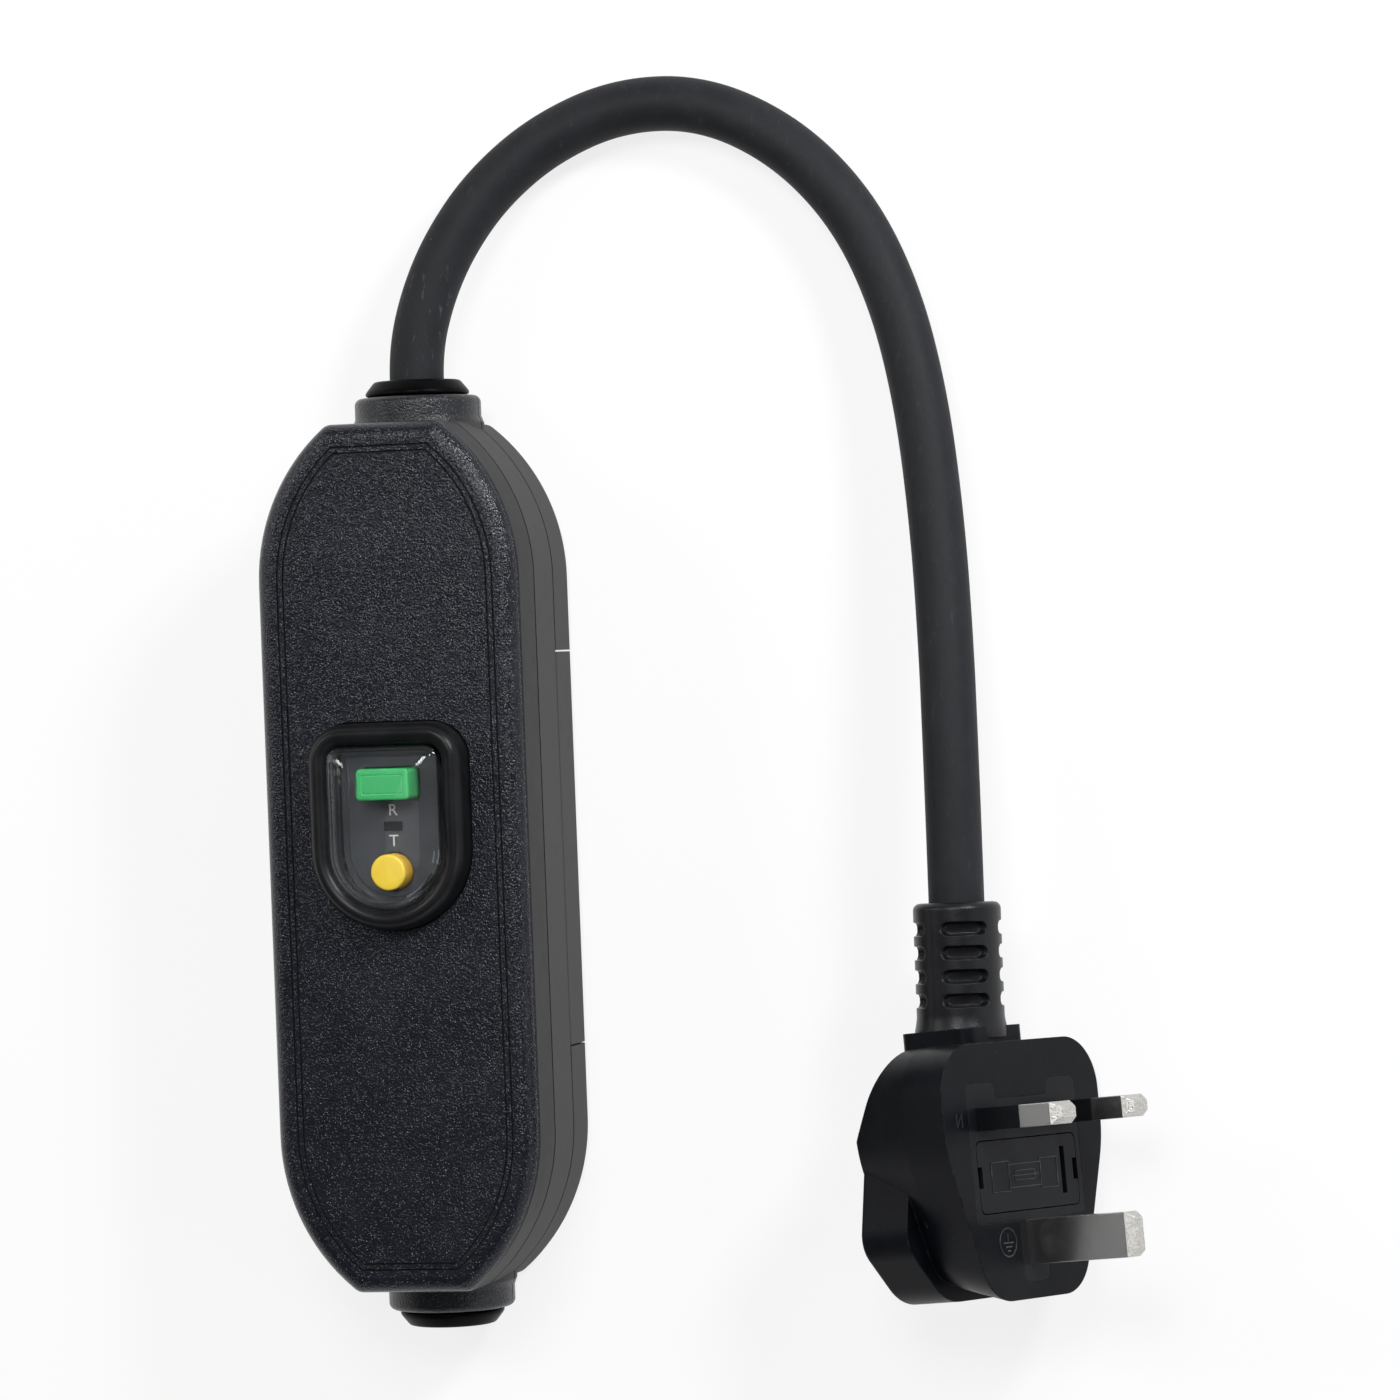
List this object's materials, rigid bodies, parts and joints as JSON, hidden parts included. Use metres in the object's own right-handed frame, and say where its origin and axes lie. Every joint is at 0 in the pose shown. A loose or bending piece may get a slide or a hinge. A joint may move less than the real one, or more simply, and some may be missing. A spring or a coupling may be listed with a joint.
{
  "type": "rcd adapter plug",
  "caption": "In-line residual current device in a long case with capped reset and test buttons, and a short rubber cord to a moulded three-pin plug",
  "frame": {"origin": "middle of the case's flat back, on the surface that the part lies on", "axes": "+Z out of the case's face, +Y along the case towards the end where the cord leaves, +X to the case's right side, where the plug lies"},
  "size_m": [0.1586, 0.2271, 0.0479],
  "materials": {
    "case_plastic": "fine spark-eroded grain",
    "seal_rubber": "smooth satin",
    "bezel_plastic": "gloss",
    "clear_cap": "clear, flexible",
    "plate_plastic": "smooth satin",
    "reset_green": "satin moulded",
    "test_yellow": "satin moulded",
    "flag_red": "red and black halves",
    "mechanism_nylon": "unfilled nylon",
    "steel": "zinc plated",
    "spring_steel": "bright drawn",
    "brass": "stamped",
    "terminal_steel": "passivated",
    "coil_copper": "enamelled winding",
    "core_resin": "dipped resin",
    "circuit_laminate": "solder mask",
    "component_black": "moulded",
    "component_blue": "lacquered",
    "core_brown": "insulation",
    "core_blue": "insulation",
    "core_green_yellow": "insulation",
    "cord_rubber": "matt rubber sheath",
    "plug_plastic": "satin gloss",
    "boot_rubber": "satin",
    "insert_plastic": "satin",
    "pin_metal": "nickel plated brass",
    "sleeve_plastic": "satin",
    "fuse_ceramic": "ceramic",
    "fuse_cap_metal": "nickel plated"
  },
  "bodies": {
    "adapter": {"front_cover": "case_plastic", "rear_shell": "case_plastic", "inlet_terminal_cover": "case_plastic", "outlet_terminal_cover": "case_plastic", "case_seal": "seal_rubber", "case_screws": "steel", "terminal_cover_screws": "steel", "window_bezel": "bezel_plastic", "window_membrane": "clear_cap", "button_plate": "plate_plastic", "reset_spring": "spring_steel", "test_spring": "spring_steel", "inlet_grommet": "seal_rubber", "outlet_grommet": "seal_rubber", "inlet_cord_clamp": "mechanism_nylon", "outlet_cord_clamp": "mechanism_nylon", "cord_clamp_screws": "steel", "mechanism_frame": "mechanism_nylon", "fixed_contacts": "brass", "load_conductors": "core_blue", "test_contact": "brass", "trip_coil": "coil_copper", "trip_yoke": "steel", "current_transformer": "core_resin", "circuit_board": "circuit_laminate", "smoothing_capacitor": "component_black", "surge_varistor": "component_blue", "test_resistor": "component_blue", "control_chip": "component_black", "supply_terminals": "brass", "load_terminals": "brass", "terminal_screws": "terminal_steel", "earth_bar": "brass", "inlet_cable_tail": "cord_rubber", "live_core": "core_brown", "neutral_core": "core_blue", "earth_core": "core_green_yellow", "cord": "cord_rubber", "plug_body": "plug_plastic", "plug_boot": "boot_rubber", "plug_insert": "insert_plastic", "live_pin": "pin_metal", "neutral_pin": "pin_metal", "earth_pin": "pin_metal", "live_pin_sleeve": "sleeve_plastic", "neutral_pin_sleeve": "sleeve_plastic", "fuse_clips": "spring_steel"},
    "reset": {"reset_button": "reset_green"},
    "test": {"test_button": "test_yellow"},
    "contacts": {"contact_carrier": "mechanism_nylon", "moving_contacts": "brass"},
    "flag": {"indicator_flag": "flag_red"},
    "plunger": {"trip_plunger": "steel"},
    "fuse_holder": {"fuse_carrier": "insert_plastic", "fuse_link": "fuse_ceramic", "fuse_caps": "fuse_cap_metal"}
  },
  "joints": [
    {"name": "reset_press", "type": "slide", "parent": "adapter", "child": "reset", "axis": [0, 0, -1], "range_m": [0, 0.0025], "stiffness_N_per_m": 300, "springref_m": -0.001, "deforming": ["reset_spring"]},
    {"name": "test_press", "type": "slide", "parent": "adapter", "child": "test", "axis": [0, 0, -1], "range_m": [0, 0.0015], "stiffness_N_per_m": 250, "springref_m": -0.001, "deforming": ["test_spring"]},
    {"name": "contact_slide", "type": "slide", "parent": "adapter", "child": "contacts", "axis": [0, 0, -1], "range_m": [0, 0.0015]},
    {"name": "flag_slide", "type": "slide", "parent": "adapter", "child": "flag", "axis": [0, 1, 0], "range_m": [0, 0.0026]},
    {"name": "plunger_slide", "type": "slide", "parent": "adapter", "child": "plunger", "axis": [0, 1, 0], "range_m": [0, 0.0015], "stiffness_N_per_m": 100, "springref_m": -0.001},
    {"name": "fuse_carrier_slide", "type": "slide", "parent": "adapter", "child": "fuse_holder", "axis": [0.9142, 0.0897, 0.3951], "range_m": [0, 0.014]}
  ],
  "couplings": [
    {"joint": "contact_slide", "follows": "reset_press", "ratio": 0.6},
    {"joint": "flag_slide", "follows": "reset_press", "ratio": 1.04}
  ]
}
